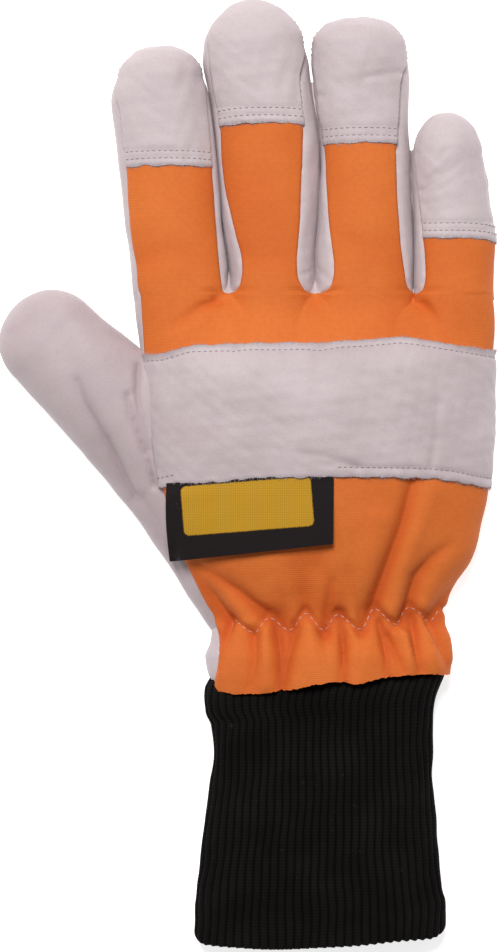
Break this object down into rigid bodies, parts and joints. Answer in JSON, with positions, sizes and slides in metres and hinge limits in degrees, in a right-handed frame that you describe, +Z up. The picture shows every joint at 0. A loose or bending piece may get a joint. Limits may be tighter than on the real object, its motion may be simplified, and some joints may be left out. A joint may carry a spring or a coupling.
{
  "type": "protective work glove, right hand",
  "caption": "Right-hand protective work glove lying palm down, with a leather palm, cloth back, leather caps and knuckle band, gathered wrist and a long ribbed knit cuff.",
  "frame": {"origin": "middle of the glove's box at its base, on the surface it lies on palm down", "axes": "+Y from the cuff to the fingertips, +X from the thumb's side to the little finger's side, +Z up from the palm to the back of the hand"},
  "size_m": [0.1646, 0.3138, 0.0348],
  "materials": {
    "leather": "soft pale grey grain leather",
    "band_leather": "pale grey leather with cut edges",
    "back_fabric": "orange woven cloth",
    "label_fabric": "dark woven tape",
    "knit": "black rib knit"
  },
  "bodies": {
    "root": {"palm_panel": "leather", "back_panel": "back_fabric", "thumb": "leather", "gusset_index_middle": "leather", "gusset_middle_ring": "leather", "gusset_ring_little": "leather", "fingertip_cap_index": "leather", "fingertip_cap_middle": "leather", "fingertip_cap_ring": "leather", "fingertip_cap_little": "leather", "knuckle_band": "band_leather", "label": "label_fabric", "knit_cuff": "knit"}
  },
  "joints": []
}
